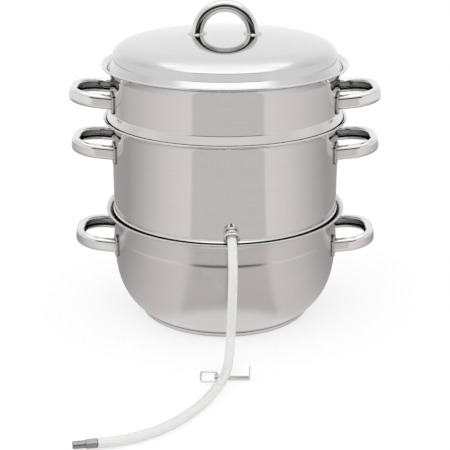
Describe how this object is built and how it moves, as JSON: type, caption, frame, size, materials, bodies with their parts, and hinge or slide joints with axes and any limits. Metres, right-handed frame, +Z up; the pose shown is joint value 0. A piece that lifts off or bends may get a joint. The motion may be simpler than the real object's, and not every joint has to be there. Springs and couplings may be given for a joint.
{
  "type": "steam juicer",
  "caption": "Stacked steel steam juicer: water pan, juice kettle with steam cone, drain hose and pinch clamp, perforated fruit basket and domed lid with an arched handle.",
  "frame": {"origin": "centre of the base's underside, on the table", "axes": "+Z up, side handles along X, drain hose leaving towards -Y"},
  "size_m": [0.352, 0.4788, 0.3639],
  "materials": {
    "vessel_steel": "satin polished stainless steel",
    "lid_steel": "fine satin stainless steel",
    "handle_steel": "mirror polished stainless steel",
    "base_aluminium": "plain aluminium inside the base",
    "hose_silicone": "milky translucent silicone",
    "nozzle_steel": "turned steel",
    "clamp_steel": "bright spring steel"
  },
  "bodies": {
    "water_pan": {"pan_shell": "vessel_steel", "base_core": "base_aluminium", "base_cap": "vessel_steel", "pan_handle_right": "handle_steel", "pan_handle_left": "handle_steel", "pan_bracket_right_front": "handle_steel", "pan_bracket_right_rear": "handle_steel", "pan_bracket_left_front": "handle_steel", "pan_bracket_left_rear": "handle_steel"},
    "juice_kettle": {"kettle_shell": "vessel_steel", "steam_cone": "vessel_steel", "kettle_handle_right": "handle_steel", "kettle_handle_left": "handle_steel", "kettle_bracket_right_front": "handle_steel", "kettle_bracket_right_rear": "handle_steel", "kettle_bracket_left_front": "handle_steel", "kettle_bracket_left_rear": "handle_steel", "outlet_spigot": "handle_steel", "outlet_collar": "handle_steel", "drain_hose": "hose_silicone", "end_nozzle": "nozzle_steel", "clamp_strip": "clamp_steel"},
    "fruit_basket": {"basket_shell": "vessel_steel", "basket_handle_right": "handle_steel", "basket_handle_left": "handle_steel", "basket_bracket_right_front": "handle_steel", "basket_bracket_right_rear": "handle_steel", "basket_bracket_left_front": "handle_steel", "basket_bracket_left_rear": "handle_steel"},
    "lid": {"lid_shell": "lid_steel", "lid_handle": "handle_steel", "lid_handle_foot_right": "handle_steel", "lid_handle_foot_left": "handle_steel"},
    "hose_clamp_bail": {"clamp_bail": "clamp_steel"}
  },
  "joints": [
    {"name": "kettle_lift", "type": "slide", "parent": "water_pan", "child": "juice_kettle", "axis": [0, 0, 1], "range_m": [0, 0.1]},
    {"name": "basket_lift", "type": "slide", "parent": "juice_kettle", "child": "fruit_basket", "axis": [0, 0, 1], "range_m": [0, 0.12]},
    {"name": "lid_lift", "type": "slide", "parent": "fruit_basket", "child": "lid", "axis": [0, 0, 1], "range_m": [0, 0.1]},
    {"name": "clamp_bail_swing", "type": "hinge", "parent": "juice_kettle", "child": "hose_clamp_bail", "pos_m": [-0.0088, -0.2005, 0.0035], "axis": [0, 1, 0], "range_deg": [0, 90]}
  ]
}
